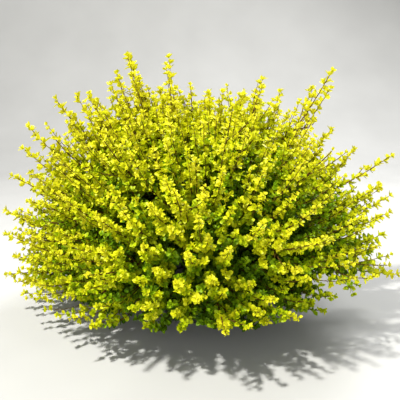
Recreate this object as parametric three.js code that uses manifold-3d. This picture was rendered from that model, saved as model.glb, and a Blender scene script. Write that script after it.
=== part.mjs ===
// A dwarf birch in a plain nursery pot: a shrub of many slender stems that fan out of one short
// woody foot, each ending in its own mass of twigs and leaves, with the lowest ones arching over
// the pot's rim.
// Millimetres, +Z up. The origin is the centre of the pot's underside.
import * as THREE from "three";
import { mergeVertices } from "three/addons/utils/BufferGeometryUtils.js";
import Module from "manifold-3d";

const wasm = await Module();
wasm.setup();

// The gap kept between neighbouring solids, and the least edge that a join may leave.
const GAP = 0.3;
const LEAST_EDGE = 0.004;
const SEED = 7;

// The pot and its filling.
const POT_HEIGHT = 205;
const POT_RIM_RADIUS = 142;
const POT_BASE_RADIUS = 112;
const POT_WALL = 3;
const POT_FLOOR = 4;
const POT_EDGE = 3;
const RIM_HEIGHT = 20;
const RIM_OVERHANG = 5;
const POT_SIDES = 28;
const DRAIN_HOLES = 6;
const DRAIN_RADIUS = 8;
const DRAIN_SIDES = 8;
const SOIL_TOP = 178;
const SOIL_EDGE_DROP = 6;
const SOIL_FLAT_RADIUS = 80;

// The short stem that all the boughs leave from.
const FOOT_RADIUS = 36;
const FOOT_FLARE = 15;
const FOOT_HEIGHT = 34;
const FOOT_SIDES = 16;
const FOOT_LOBES = 5;
const LOBE_DEPTH = 0.09;
const LOBE_TWIST = 2;

// The foot's rings: share of its radius, share of its height, and share of its flare.
const FOOT_RINGS = [
  [1, 0, 1],
  [1, 0.22, 0.4],
  [0.97, 0.5, 0],
  [0.8, 0.8, 0],
  [0.42, 1, 0],
];

// The crown is a dome about this centre, flatter at its top and on its right shoulder. Its middle,
// inside the inner radius, holds only boughs.
const CROWN_CENTRE = new THREE.Vector3(0, 0, 190);
const CROWN_REACH = 525;
const TOP_REACH = 430;
const REACH_SPREAD = 0.05;
const SHOULDER_ELEVATION = 38;
const SHOULDER_WIDTH = 40;
const SHOULDER_DROP = 0.14;
const INNER_RADIUS = 250;
const STEMS = 28;
const LOWEST_SINE = -0.16;
const GOLDEN_ANGLE = Math.PI * (3 - Math.sqrt(5));

// The crown's underside is level, and rises towards the front.
const UNDERSIDE = 62;
const FRONT_RISE = 0.48;
const FRONT_RISE_FROM = 290;

// The leading shoots that stand out of the dome: azimuth from +X and elevation about the crown's
// centre, in degrees, and reach.
const LEADERS = [
  { azimuth: -6, elevation: 55, reach: 580 },
  { azimuth: 4, elevation: 25, reach: 575 },
  { azimuth: -4, elevation: -8, reach: 542 },
  { azimuth: 174, elevation: 69, reach: 545 },
  { azimuth: 182, elevation: 46, reach: 556 },
  { azimuth: 175, elevation: 19, reach: 565 },
  { azimuth: 187, elevation: -7, reach: 540 },
];

// Boughs.
const BOUGH_RADIUS = 4.6;
const BOUGH_END_RADIUS = 3.6;
const BOUGH_SIDES = 5;
const BOUGH_STEPS = 5;
const BOUGH_ROOT_RISE = 0.35;
const BOUGH_ROOT_REACH = 0.45;
const BEND_SHARE = 0.52;
const RIM_CLEARANCE = 84;
const BEND_SPREAD = 75;
const LOW_STEM_LIFT = 5;
const LOW_STEM_BELOW = Math.PI / 4;
const LEADER_BEND_SHARE = 0.35;

// Foliage masses. A twig is thinner than the stem that it leaves.
const STEM_RADIUS = 3.8;
const STEM_END_RADIUS = 2.6;
const STEM_STEPS = 4;
const TWIG_THINNING = 0.42;
const TWIG_TAPER = 0.85;
const TWIG_SIDES = 3;
const SIDE_TWIGS = 5;
const TWIG_LENGTH = 150;
const TWIG_LEAST = 28;
const TWIG_ANGLE = 52;
const TWIG_WANDER = 0.3;
const TWIG_SHRINK = 0.85;
const FIRST_TWIG_SHARE = 0.08;
const TWIG_STRETCH = 0.72;
const TWIG_SHARES = [0.66, 0.34];
const STEM_SHARES = [0.8, 0.64, 0.48, 0.32, 0.18, 0.06];
const LEAF_LENGTH = 64;
const LEAF_THICKNESS = 1.8;
const TIP_LEAF_REACH = 55;
const LEAF_ROOT_DEPTH = 0.45;
const LEAF_SPACING = 38;
const LEAVES_PER_MASS = 19;
const LEAF_TRIES = 24;
const LEAF_SHRINK = 0.012;
const LEAF_TILT = 0.9;
const SPACE_MARGIN = 1.5;

// A leaf's outline from its stalk, as shares of its length along and across.
const LEAF_OUTLINE = [
  [0, 0],
  [0.5, 0.4],
  [0.94, 0.26],
  [0.94, -0.26],
  [0.5, -0.4],
];
const LEAF_CROWN = 0.42;

const UP = new THREE.Vector3(0, 0, 1);

const plastic = new THREE.MeshStandardMaterial({ color: 0x232527, roughness: 0.55 });
const soilMix = new THREE.MeshStandardMaterial({ color: 0x33251b, roughness: 0.95 });
const bark = new THREE.MeshStandardMaterial({ color: 0x4b3325, roughness: 0.85 });
const leafGold = new THREE.MeshStandardMaterial({ color: 0xd8d415, roughness: 0.5 });

// A repeatable stream of numbers from 0 to 1 (the mulberry32 rule).
function seeded(seed) {
  let state = seed >>> 0;
  return () => {
    state = (state + 0x6d2b79f5) >>> 0;
    let t = state;
    t = Math.imul(t ^ (t >>> 15), t | 1);
    t ^= t + Math.imul(t ^ (t >>> 7), t | 61);
    return ((t ^ (t >>> 14)) >>> 0) / 4294967296;
  };
}

// A vector of three draws, each from minus half to half.
function wander(draw) {
  return new THREE.Vector3(draw() - 0.5, draw() - 0.5, draw() - 0.5);
}

// The unit vector at an azimuth from +X and an elevation, in radians.
function heading(azimuth, elevation) {
  const level = Math.cos(elevation);
  return new THREE.Vector3(
    level * Math.cos(azimuth),
    level * Math.sin(azimuth),
    Math.sin(elevation),
  );
}

// A closed three.js geometry as a solid that can be joined and cut.
function toSolid(geometry) {
  const bare = geometry.clone();
  bare.deleteAttribute("normal");
  bare.deleteAttribute("uv");
  const merged = mergeVertices(bare, 1e-4);
  return new wasm.Manifold(
    new wasm.Mesh({
      numProp: 3,
      vertProperties: merged.attributes.position.array,
      triVerts: new Uint32Array(merged.index.array),
    }),
  );
}

// A solid as a three.js geometry.
function toGeometry(solid) {
  const mesh = solid.getMesh();
  const geometry = new THREE.BufferGeometry();
  geometry.setAttribute("position", new THREE.BufferAttribute(mesh.vertProperties, 3));
  geometry.setIndex(new THREE.BufferAttribute(mesh.triVerts, 1));
  geometry.computeVertexNormals();
  return geometry;
}

function geometryOf(points, faces) {
  const geometry = new THREE.BufferGeometry();
  geometry.setAttribute(
    "position",
    new THREE.Float32BufferAttribute(points.flatMap((p) => p.toArray()), 3),
  );
  geometry.setIndex(faces.flat());
  return geometry;
}

// The direction of a curve at a share of it, and two directions square to it and to each other.
function frameAt(curve, share) {
  const across = new THREE.Vector3().crossVectors(curve.getTangent(0.5), UP);
  if (across.length() < 0.1) across.set(1, 0, 0);
  const along = curve.getTangent(share);
  const side = across.addScaledVector(along, -across.dot(along)).normalize();
  return { along, side, other: new THREE.Vector3().crossVectors(along, side) };
}

// The direction square to a curve at a turn about it.
function sideways({ side, other }, turn) {
  return side
    .clone()
    .multiplyScalar(Math.cos(turn))
    .addScaledVector(other, Math.sin(turn));
}

// The direction out of the middle of one of the flat sides of a three-sided twig.
function flatSide(frame, number) {
  return sideways(frame, ((2 * number + 1) * Math.PI) / TWIG_SIDES);
}

// The faces of a closed body whose points lie in rings, one after the other, with flat ends.
function ringFaces(rings, sides) {
  const faces = [];
  for (let ring = 0; ring + 1 < rings; ring++) {
    for (let k = 0; k < sides; k++) {
      const a = ring * sides + k;
      const b = ring * sides + ((k + 1) % sides);
      faces.push([a, b, b + sides], [a, b + sides, a + sides]);
    }
  }
  const last = (rings - 1) * sides;
  for (let k = 1; k + 1 < sides; k++) {
    faces.push([0, k + 1, k], [last, last + k, last + k + 1]);
  }
  return faces;
}

// A closed tapering limb along a curve, with rings at even steps.
function limb(curve, steps, radiusAt, sides) {
  const points = [];
  for (let ring = 0; ring <= steps; ring++) {
    const centre = curve.getPoint(ring / steps);
    const frame = frameAt(curve, ring / steps);
    for (let k = 0; k < sides; k++) {
      const out = sideways(frame, (2 * Math.PI * k) / sides);
      points.push(centre.clone().addScaledVector(out, radiusAt(ring / steps)));
    }
  }
  return geometryOf(points, ringFaces(steps + 1, sides));
}

// A leaf's outline points in space, from its stalk point, its direction and its upper side.
function leafOutline(base, along, normal, length) {
  const across = new THREE.Vector3().crossVectors(normal, along);
  return LEAF_OUTLINE.map(([u, v]) =>
    base.clone().addScaledVector(along, u * length).addScaledVector(across, v * length),
  );
}

// A thin leaf with a flat underside, thickest at its crown and sharp all round its edge.
function leaf(outline, along, normal, length) {
  const crown = outline[0]
    .clone()
    .addScaledVector(along, LEAF_CROWN * length)
    .addScaledVector(normal, LEAF_THICKNESS);
  const count = outline.length;
  const upper = outline.map((_, k) => [(k + 1) % count, k, count]);
  const under = outline.slice(2).map((_, k) => [1, k + 2, (k + 3) % count]);
  return geometryOf([...outline, crown], [...upper, ...under]);
}

// The pot's wall line, as radius at a height above its underside.
function potRadius(height) {
  return POT_BASE_RADIUS + ((POT_RIM_RADIUS - RIM_OVERHANG - POT_BASE_RADIUS) * height) / POT_HEIGHT;
}

function lathe(profile, sides) {
  const geometry = new THREE.LatheGeometry(
    profile.map(([radius, height]) => new THREE.Vector2(radius, height)),
    sides,
  );
  return geometry.rotateX(Math.PI / 2);
}

// The plain tapered pot with a rolled rim and drain holes round its foot.
function pot() {
  const rimFoot = POT_HEIGHT - RIM_HEIGHT;
  const profile = [
    [0, 0],
    [POT_BASE_RADIUS - POT_EDGE, 0],
    [POT_BASE_RADIUS, POT_EDGE],
    [potRadius(rimFoot), rimFoot],
    [POT_RIM_RADIUS, rimFoot + POT_EDGE],
    [POT_RIM_RADIUS, POT_HEIGHT - POT_EDGE],
    [POT_RIM_RADIUS - POT_EDGE, POT_HEIGHT],
    [potRadius(POT_HEIGHT) - POT_WALL, POT_HEIGHT],
    [potRadius(POT_FLOOR) - POT_WALL, POT_FLOOR],
    [0, POT_FLOOR],
  ];
  let body = toSolid(lathe(profile, POT_SIDES));
  for (let k = 0; k < DRAIN_HOLES; k++) {
    const drill = new THREE.CylinderGeometry(DRAIN_RADIUS, DRAIN_RADIUS, 30, DRAIN_SIDES);
    drill.rotateZ(Math.PI / 2);
    drill.translate(POT_BASE_RADIUS, 0, DRAIN_RADIUS + POT_FLOOR + 2);
    drill.rotateZ((2 * Math.PI * (k + 0.5)) / DRAIN_HOLES);
    body = body.subtract(toSolid(drill));
  }
  return toGeometry(body);
}

// The soil that fills the pot, flat where the shrub stands and a little lower at the wall.
function soil() {
  const foot = POT_FLOOR + GAP;
  const edge = SOIL_TOP - SOIL_EDGE_DROP;
  const inside = (height) => potRadius(height) - POT_WALL - 2 * GAP;
  return lathe(
    [
      [0, foot],
      [inside(foot) - 1, foot],
      [inside(edge), edge],
      [SOIL_FLAT_RADIUS, SOIL_TOP],
      [0, SOIL_TOP],
    ],
    POT_SIDES,
  );
}

// The short woody foot: a lobed dome that flares at the soil. Grown by a gap it cuts the boughs.
function rootCrown(grown) {
  const points = [];
  FOOT_RINGS.forEach(([width, rise, flare]) => {
    for (let k = 0; k < FOOT_SIDES; k++) {
      const turn = (2 * Math.PI * k) / FOOT_SIDES;
      const lobe = 1 + LOBE_DEPTH * Math.cos(FOOT_LOBES * turn + LOBE_TWIST * rise);
      const radius = (FOOT_RADIUS * width + FOOT_FLARE * flare) * lobe + grown;
      const height = rise === 0 ? SOIL_TOP + GAP - grown : SOIL_TOP + FOOT_HEIGHT * rise + grown;
      points.push(new THREE.Vector3(radius * Math.cos(turn), radius * Math.sin(turn), height));
    }
  });
  return geometryOf(points, ringFaces(FOOT_RINGS.length, FOOT_SIDES));
}

// How far the dome reaches in a direction from its centre.
function domeReach(toward) {
  const reach = THREE.MathUtils.lerp(CROWN_REACH, TOP_REACH, Math.max(0, toward.z) ** 4);
  const shoulder = heading(0, THREE.MathUtils.degToRad(SHOULDER_ELEVATION));
  const away = THREE.MathUtils.radToDeg(toward.angleTo(shoulder));
  return reach * (1 - SHOULDER_DROP * Math.max(0, 1 - away / SHOULDER_WIDTH));
}

// The stems' headings: a golden spiral from the skirt to the top, with each leader taking over
// the stem that is nearest to it.
function stemHeadings() {
  const stems = Array.from({ length: STEMS }, (_, k) => {
    const draw = seeded(SEED + k);
    const sine = LOWEST_SINE + (1 - LOWEST_SINE) * ((k + 0.5) / STEMS);
    const toward = heading(k * GOLDEN_ANGLE, Math.asin(sine));
    const reach = domeReach(toward) * (1 + REACH_SPREAD * (2 * draw() - 1));
    return { toward, reach, led: false };
  });
  LEADERS.forEach(({ azimuth, elevation, reach }) => {
    const wanted = heading(THREE.MathUtils.degToRad(azimuth), THREE.MathUtils.degToRad(elevation));
    const nearest = stems
      .filter((stem) => !stem.led)
      .reduce((best, stem) => (stem.toward.dot(wanted) > best.toward.dot(wanted) ? stem : best));
    Object.assign(nearest, { toward: wanted, reach, led: true });
  });
  return stems;
}

// Each stem's two curves: the bough from the foot to the inner radius, and the leader of its mass.
// Low boughs rise over the pot's rim, and the higher a bough's heading, the steeper it leaves.
function stemCurves({ toward, reach }) {
  const azimuth = Math.atan2(toward.y, toward.x);
  const elevation = Math.asin(toward.z);
  const low = Math.max(0, 1 - elevation / LOW_STEM_BELOW);
  const lifted = elevation + THREE.MathUtils.degToRad(LOW_STEM_LIFT) * low;
  const out = new THREE.Vector3(Math.cos(azimuth), Math.sin(azimuth), 0);
  const start = CROWN_CENTRE.clone().addScaledVector(heading(azimuth, lifted), INNER_RADIUS);
  const root = new THREE.Vector3(0, 0, SOIL_TOP + BOUGH_ROOT_RISE * FOOT_HEIGHT);
  root.addScaledVector(out, BOUGH_ROOT_REACH * FOOT_RADIUS * Math.cos(elevation));
  const bend = out.clone().multiplyScalar(BEND_SHARE * start.dot(out));
  bend.z = Math.max(
    0.5 * (root.z + start.z),
    SOIL_TOP + RIM_CLEARANCE + BEND_SPREAD * (toward.z - LOWEST_SINE),
  );
  const tip = CROWN_CENTRE.clone().addScaledVector(toward, reach - TIP_LEAF_REACH);
  const leaving = start.clone().sub(bend).normalize();
  const span = tip.distanceTo(start);
  return {
    bough: new THREE.QuadraticBezierCurve3(root, bend, start),
    leader: new THREE.QuadraticBezierCurve3(
      start.clone().addScaledVector(leaving, 1.2 * GAP),
      start.clone().addScaledVector(leaving, LEADER_BEND_SHARE * span),
      tip,
    ),
  };
}

// A bough: one tapering limb, cut clear of the foot that it leaves.
function bough(curve, footCutter) {
  const radiusAt = (share) => THREE.MathUtils.lerp(BOUGH_RADIUS, BOUGH_END_RADIUS, share);
  return toSolid(limb(curve, BOUGH_STEPS, radiusAt, BOUGH_SIDES)).subtract(footCutter);
}

// True where a point keeps to a stem's own space: above the crown's underside, outside the inner
// radius, and nearer to its own heading than to any other's.
function keepsToSpace(point, own, headings) {
  const fromCentre = point.clone().sub(CROWN_CENTRE);
  if (point.z < UNDERSIDE + FRONT_RISE * Math.max(0, -point.y - FRONT_RISE_FROM)) return false;
  if (fromCentre.length() < INNER_RADIUS + SPACE_MARGIN) return false;
  return headings.every((other) => {
    if (other === own) return true;
    const split = own.clone().sub(other).normalize();
    return fromCentre.dot(split) > SPACE_MARGIN;
  });
}

function stemRadius(share) {
  return THREE.MathUtils.lerp(STEM_RADIUS, STEM_END_RADIUS, share);
}

// The side twigs of a leader: out of its flat sides in turn, shorter towards its tip, and no
// longer than its space allows.
function sideTwigs(leader, own, headings, draw) {
  const twigs = [];
  const opening = THREE.MathUtils.degToRad(TWIG_ANGLE);
  for (let k = 0; k < SIDE_TWIGS; k++) {
    const share = FIRST_TWIG_SHARE + (TWIG_STRETCH * (k + 0.5 * draw())) / SIDE_TWIGS;
    const base = leader.getPoint(share);
    const frame = frameAt(leader, share);
    const toward = frame.along
      .clone()
      .multiplyScalar(Math.cos(opening))
      .addScaledVector(flatSide(frame, k), Math.sin(opening))
      .addScaledVector(wander(draw), TWIG_WANDER)
      .normalize();
    let length = TWIG_LENGTH * (1 - 0.45 * share);
    const tip = () => base.clone().addScaledVector(toward, length);
    while (length > TWIG_LEAST && !keepsToSpace(tip(), own, headings)) length *= TWIG_SHRINK;
    if (length > TWIG_LEAST) {
      const radius = TWIG_THINNING * stemRadius(share);
      twigs.push({
        curve: new THREE.LineCurve3(base, tip()),
        radiusAt: (along) => radius * THREE.MathUtils.lerp(1, TWIG_TAPER, along),
      });
    }
  }
  return twigs;
}

// The places where leaves may grow: the leader's tip, the twigs' tips, then along each of them.
function leafPlaces(stem, twigs) {
  const limbs = [stem, ...twigs];
  return [
    ...limbs.map((limb) => ({ ...limb, share: 1 })),
    ...TWIG_SHARES.flatMap((share) => twigs.map((twig) => ({ ...twig, share }))),
    ...STEM_SHARES.map((share) => ({ ...stem, share })),
  ];
}

// The least edge of a solid.
function leastEdge(solid) {
  const { vertProperties, triVerts } = solid.getMesh();
  const corner = (k) => new THREE.Vector3().fromArray(vertProperties, 3 * triVerts[k]);
  let least = Infinity;
  for (let k = 0; k < triVerts.length; k++) {
    const next = k % 3 === 2 ? k - 2 : k + 1;
    least = Math.min(least, corner(k).distanceTo(corner(next)));
  }
  return least;
}

// A mass with a piece joined on, or null where the join would leave a sliver.
function joined(mass, piece) {
  const both = mass.add(piece);
  return leastEdge(both) < LEAST_EDGE ? null : both;
}

// A mass with a leaf joined on at a place, turned by a few seeded tries until it keeps to its
// space, stands apart from the leaves already there and joins cleanly, or null. Its upper side
// looks out of the crown, and its root is sunk in its twig.
function withLeaf(mass, { curve, radiusAt, share }, own, headings, taken, draw) {
  const frame = frameAt(curve, share);
  const outward = curve.getPoint(share).sub(CROWN_CENTRE).normalize();
  const first = Math.floor(draw() * TWIG_SIDES);
  for (let attempt = 0; attempt < LEAF_TRIES; attempt++) {
    const length = LEAF_LENGTH * (1 - LEAF_SHRINK * attempt);
    const toward =
      share === 1
        ? frame.along.clone().addScaledVector(wander(draw), 0.3 + 0.08 * attempt)
        : flatSide(frame, first + attempt).addScaledVector(frame.along, 0.2 + 0.8 * draw());
    toward.normalize();
    const normal = outward.clone().addScaledVector(wander(draw), LEAF_TILT).cross(toward);
    if (normal.length() < 0.3) continue;
    const upper = new THREE.Vector3().crossVectors(toward, normal.normalize());
    const root = curve.getPoint(share).addScaledVector(toward, -LEAF_ROOT_DEPTH * radiusAt(share));
    const outline = leafOutline(root, toward, upper, length);
    const middle = root.clone().addScaledVector(toward, 0.5 * length);
    const apart = taken.every((other) => other.distanceTo(middle) > LEAF_SPACING);
    if (apart && outline.slice(1).every((point) => keepsToSpace(point, own, headings))) {
      const both = joined(mass, toSolid(leaf(outline, toward, upper, length)));
      if (!both) continue;
      taken.push(middle);
      return both;
    }
  }
  return null;
}

// One mass of foliage: its leader, the twigs on it and the leaves on them, joined into one solid.
function foliageMass(leader, own, headings, seed) {
  const draw = seeded(seed);
  const stem = { curve: leader, radiusAt: stemRadius };
  let mass = toSolid(limb(leader, STEM_STEPS, stemRadius, TWIG_SIDES));
  const twigs = sideTwigs(leader, own, headings, draw).filter(({ curve, radiusAt }) => {
    const both = joined(mass, toSolid(limb(curve, 1, radiusAt, TWIG_SIDES)));
    mass = both ?? mass;
    return both;
  });
  const taken = [];
  for (const place of leafPlaces(stem, twigs)) {
    if (taken.length >= LEAVES_PER_MASS) break;
    mass = withLeaf(mass, place, own, headings, taken, draw) ?? mass;
  }
  return mass;
}

function named(name, geometry, material) {
  const mesh = new THREE.Mesh(geometry, material);
  mesh.name = name;
  return mesh;
}

function buildShrub() {
  const shrub = new THREE.Group();
  shrub.add(named("pot", pot(), plastic));
  shrub.add(named("soil", soil(), soilMix));
  shrub.add(named("root_crown", rootCrown(0), bark));
  const footCutter = toSolid(rootCrown(GAP));
  const stems = stemHeadings();
  const headings = stems.map((stem) => stem.toward);
  stems.forEach((stem, k) => {
    const number = String(k + 1).padStart(2, "0");
    const curves = stemCurves(stem);
    shrub.add(named(`bough_${number}`, toGeometry(bough(curves.bough, footCutter)), bark));
    const mass = foliageMass(curves.leader, stem.toward, headings, SEED * 1000 + k);
    shrub.add(named(`foliage_${number}`, toGeometry(mass), leafGold));
  });
  return shrub;
}

export default buildShrub();
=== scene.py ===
"""The looks of a golden-leaved dwarf birch in a plain nursery pot.

The shrub grows here from the same limbs as its solids, by the same seeded rule: boughs fan out of
one woody foot into masses of foliage, with shoots, twigs, spurs and leaves. In metres, +Z up.
"""

import math

import bpy
import numpy as np
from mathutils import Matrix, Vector
from numpy.linalg import norm


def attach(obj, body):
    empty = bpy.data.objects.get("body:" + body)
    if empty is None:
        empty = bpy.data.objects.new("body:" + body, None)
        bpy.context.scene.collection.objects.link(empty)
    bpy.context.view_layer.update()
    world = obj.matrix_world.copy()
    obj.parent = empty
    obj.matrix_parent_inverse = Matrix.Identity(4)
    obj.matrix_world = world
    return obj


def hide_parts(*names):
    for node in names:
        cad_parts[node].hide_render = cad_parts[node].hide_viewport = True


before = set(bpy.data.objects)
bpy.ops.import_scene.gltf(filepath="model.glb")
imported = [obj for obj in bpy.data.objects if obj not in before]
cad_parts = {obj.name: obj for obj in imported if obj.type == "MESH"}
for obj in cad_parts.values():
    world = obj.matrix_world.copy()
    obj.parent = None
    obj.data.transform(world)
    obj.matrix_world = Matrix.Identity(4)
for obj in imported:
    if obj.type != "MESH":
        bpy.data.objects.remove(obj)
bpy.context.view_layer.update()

UP = np.array([0.0, 0.0, 1.0])
GOLDEN_ANGLE = math.pi * (3 - math.sqrt(5))
MM = 0.001
DEGREE = math.pi / 180
SEED = 7
TWIG_SEED = 1000 * SEED
NEARLY_UPRIGHT = 0.1

# The pot, as its solid has it, with its shallow rings as shares of its height.
POT_HEIGHT = 205 * MM
POT_RIM = 142 * MM
POT_BASE = 112 * MM
POT_WALL = 3 * MM
POT_FLOOR = 4 * MM
POT_EDGE = 3 * MM
POT_LIP = 1.5 * MM
ROUND_SIDES = 96
RIM_HEIGHT = 20 * MM
RIM_OVERHANG = 5 * MM
RIM_STEP = 0.1 * MM
RING_PLACES = (0.30, 0.34, 0.38)
RING_HALF_WIDTH = 2 * MM
RING_DEPTH = 0.7 * MM
DRAIN_HOLES = 6
DRAIN_RADIUS = 8 * MM
DRAIN_ABOVE_FLOOR = 2 * MM
DRILL_LENGTH = 30 * MM
DRILL_SIDES = 24
SHARP_EDGE = 38 * DEGREE

# The potting mix, with its lumps, which calm down towards the wall.
SOIL_TOP = 178 * MM
SOIL_EDGE_DROP = 6 * MM
SOIL_FLAT_RADIUS = 80 * MM
SOIL_RINGS = 40
SOIL_EDGE_GAP = 0.8 * MM
SOIL_FOOT_GAP = 1.0 * MM
SOIL_FLOOR_GAP = 0.4 * MM
SOIL_SINK = 0.5 * MM
LUMP_HEIGHT = 0.9 * MM
CALM_WIDTH = 8 * MM
CALM_SHARE = 0.25

# What lies on it: its finish, how many and how long. Chips vary between two sets of shares.
LITTER = [
    ("soil_chips", "bark_chip", 620, 7 * MM),
    ("soil_crumbs", "potting_mix", 900, 3 * MM),
    ("soil_grains", "pale_grain", 170, 2.4 * MM),
]
CHIP_SIZES = (0.4, 1.0)
CHIP_SHAPES = ([0.7, 0.4, 0.15], [1.3, 0.8, 0.4])
CHIP_CORNERS = (0.6, 1.15)
CHIP_TILT = 0.35
CHIPS_FROM = 0.06
CHIPS_MARGIN = 7 * MM

# The short woody foot: its rings give the share of its radius, its height and its flare, and its
# furrows their depth, their count and their twist.
FOOT_RADIUS = 36 * MM
FOOT_FLARE = 15 * MM
FOOT_HEIGHT = 34 * MM
FOOT_LOBES = 5
LOBE_DEPTH = 0.09
LOBE_TWIST = 2
FOOT_RINGS = [(1, 0, 1), (1, 0.22, 0.4), (0.97, 0.5, 0), (0.8, 0.8, 0), (0.42, 1, 0)]
FOOT_MESH = (30, 72)
FURROWS = [(0.03, 17, 5), (0.02, 31, -3)]
FOOT_ROUGHNESS = 0.012

# The crown: a dome about its centre, flatter at its top and on its right shoulder, with one stem
# to each of its masses.
CENTRE = np.array([0, 0, 190]) * MM
CROWN_REACH = 525 * MM
TOP_REACH = 430 * MM
SHOULDER_ELEVATION = 38 * DEGREE
SHOULDER_WIDTH = 40 * DEGREE
SHOULDER_DROP = 0.14
REACH_SPREAD = 0.05
INNER_RADIUS = 250 * MM
STEMS = 28
LOWEST_SINE = -0.16
UNDERSIDE = 62 * MM
FRONT_RISE = 0.48
FRONT_RISE_FROM = 290 * MM

# The leading shoots that stand out of the dome: azimuth from +X and elevation about the crown's
# centre, in degrees, and reach in millimetres.
LEADERS = [
    (-6, 55, 580), (4, 25, 575), (-4, -8, 542),
    (174, 69, 545), (182, 46, 556), (175, 19, 565), (187, -7, 540),
]

# Boughs and leaders: how they bend, their radii at foot, middle and tip, and their bark's relief.
BOUGH_ROOT_RISE = 0.35
BOUGH_ROOT_REACH = 0.45
BEND_SHARE = 0.52
RIM_CLEARANCE = 84 * MM
BEND_SPREAD = 75 * MM
LOW_STEM_LIFT = 5 * DEGREE
LOW_STEM_BELOW = math.pi / 4
LEADER_BEND_SHARE = 0.35
STEM_RADII = (4.6 * MM, 3.5 * MM, 0.9 * MM)
LIMB_TAPER = 0.8
BOUGH_RINGS = 48
BOUGH_SIDES = 10
BOUGH_RELIEF = 0.06
LEADER_RINGS = 40
LEADER_SIDES = 6
LEADER_RELIEF = 0.04
BARK_ROUGHNESS = 0.55
BARK_WOBBLE = 0.12 * MM

# The side twigs that the solids have too: out of a leader's flat sides in turn. Here they lift
# towards their tips, and those of the leading shoots are shorter.
SIDE_TWIGS = 5
LEADER_FLATS = 3
TWIG_LENGTH = 150 * MM
TWIG_SHORTENING = 0.45
TWIG_LEAST = 28 * MM
TWIG_ANGLE = 52 * DEGREE
TWIG_WANDER = 0.3
TWIG_SHRINK = 0.85
FIRST_TWIG_SHARE = 0.08
TWIG_STRETCH = 0.72
SPACE_MARGIN = 1.5 * MM
TWIG_LIFT = 0.6
LED_TWIG_SHARE = 0.5
TWIG_RADII = (1.5 * MM, 0.6 * MM)

# The finer shoots, layer by layer: how many, between which shares of the crown's reach they end,
# between which sines of elevation, and how readily their leaves turn gold. The inner layers turn
# less gold. This is partly their own greener leaves, and partly painted shade in the gaps between the
# plumes.
LAYERS = [
    (520, 0.86, 1.0, -0.26, 1.0, 1.4),
    (430, 0.68, 0.87, -0.26, 1.0, 0.78),
    (300, 0.44, 0.68, -0.28, 0.9, 0.55),
    (260, 0.50, 0.92, -0.34, 0.10, 0.75),
]
OUTER_GOLD = LAYERS[0][-1]
LAYER_TURN = 2.1
LAYER_SPREAD = 0.03
SHOOT_ANGLE = 21 * DEGREE
SHOOT_ANGLE_SPREAD = 8 * DEGREE
SHOOT_AIM = np.array([0, 0, -70]) * MM
SHOOT_CURVE = 0.95
SHOOT_LEAST = 90 * MM
SHOOT_WOBBLE = 0.6 * MM
STEM_CHOICES = 4
ROOT_LEAST_RADIUS = 175 * MM
UNFIT = 10.0
SHOOT_POINTS = 8
SHOOT_SIDES = 4
ROOT_RADII = (1.0 * MM, 2.1 * MM)
LONG_SHOOT = 320 * MM
TIP_RADIUS = 0.6 * MM

# How readily the leaves of leaders, side twigs and shoots turn gold, and how much of a limb is bare.
LEADER_VIGOUR = 1.1
TWIG_VIGOURS = (0.5, 1)
VIGOUR_SPREAD = (0.7, 1.3)
BARE_SHARE = 0.12
TWIG_BARE_SHARE = 0.1
TWIGLET_BARE_SHARE = 0.15

# The shoots that draw the crown's outline: elevation in degrees and reach in millimetres, on its
# right and left. Most have companions just inside the outline. They are spread in depth along the
# lines of sight from where the photo is taken.
RIGHT_TIPS = [
    (-3, 466), (3, 500), (10, 521), (15, 530), (19, 507), (33, 485), (43, 470), (56, 517), (64, 465),
    (71, 480), (76, 424), (83, 420), (88, 415),
]
LEFT_TIPS = [
    (80, 515), (75, 440), (69, 550), (64, 520), (61, 500), (54, 510), (51, 530), (46, 505), (35, 568),
    (29, 552), (23, 512), (10, 550), (3, 550), (-4, 525), (-12, 515),
]
LONE_RIGHT_TIPS = [(52, 545), (-15, 455), (-7, 480), (-18, 440)]
OUTLINE_DEPTHS = (-130 * MM, 40 * MM)
PHOTO_FROM = np.array([0, -1.6, 0.70])
COMPANIONS = 3
COMPANION_STEP = 0.055
COMPANION_SPREAD = 13 * MM

# The lobes and hollows of that outline: the turn from +X through +Z in degrees, and the share of
# the dome's reach that the crown is dense to.
LOBES = [
    (-30, 0.80), (-20, 0.76), (-12, 0.70), (-4, 0.69), (2, 0.82), (8, 0.92), (15, 0.86), (22, 0.82),
    (30, 0.90), (40, 0.95), (48, 0.93), (55, 1.06), (61, 0.82), (67, 0.97), (74, 0.97), (80, 0.82),
    (88, 0.97), (95, 0.84), (101, 1.06), (106, 0.98), (113, 1.15), (120, 1.04), (128, 0.97),
    (138, 1.0), (147, 1.0), (156, 0.93), (165, 0.97), (172, 0.96), (185, 1.10),
    (195, 1.12), (205, 1.04), (215, 0.96),
]
LOBE_WIDTH = 0.6
LOW_LOBE_WIDTH = 0.85

# The leafy skirt: its reach draws in downwards, and its edge rises to both sides.
SKIRT_SHARE = 0.84
SKIRT_SINES = (-0.22, 0.12)
SKIRT_RISE = 0.25
SKIRT_RISE_FROM = 90 * MM
SKIRT_RIGHT_RISE = 34 * MM
SKIRT_LEFT_RISE = 16 * MM

# Twiglets along the shoots: over which span of a shoot's length, and from which share of it on.
TWIGLET_SPACING = 105 * MM
TWIGLET_SPAN = 0.8
TWIGLET_FIRST = 0.2
TWIGLET_STRETCH = 0.62
TWIGLET_LAST = 0.62
TWIGLET_JITTER = (0.2, 0.8)
TWIGLET_LENGTH = 52 * MM
TWIGLET_LENGTHS = (0.5, 1.25)
TWIGLET_SHORTENING = (1.15, -0.6)
TWIGLET_ANGLE = 38 * DEGREE
TWIGLET_LIFT = 0.12
TWIGLET_RADII = (0.9 * MM, 0.4 * MM)
TWIGLET_POINTS = 4
TWIGLET_SIDES = 3

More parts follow.
